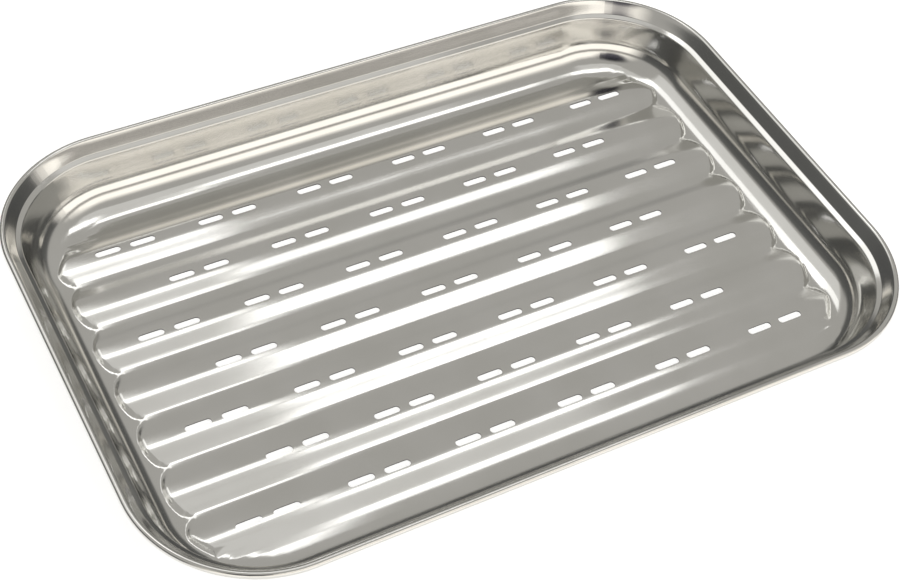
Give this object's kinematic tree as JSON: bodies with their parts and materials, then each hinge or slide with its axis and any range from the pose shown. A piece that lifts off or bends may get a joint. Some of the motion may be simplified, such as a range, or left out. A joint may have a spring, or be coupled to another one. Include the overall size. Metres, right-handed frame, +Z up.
{
  "type": "grill tray",
  "caption": "Shallow oblong stainless steel grill tray with rounded corners, a rolled edge, long parallel ridges in its floor and slots along their crests.",
  "frame": {"origin": "middle of the tray's outline, on the plane it stands on", "axes": "+X along the long side and the ridges, +Y across the ridges, +Z up out of the open top"},
  "size_m": [0.345, 0.24, 0.03],
  "materials": {
    "sheet": "bright smooth rolled stainless sheet with a faint grain"
  },
  "bodies": {
    "root": {"grill_tray": "sheet"}
  },
  "joints": []
}
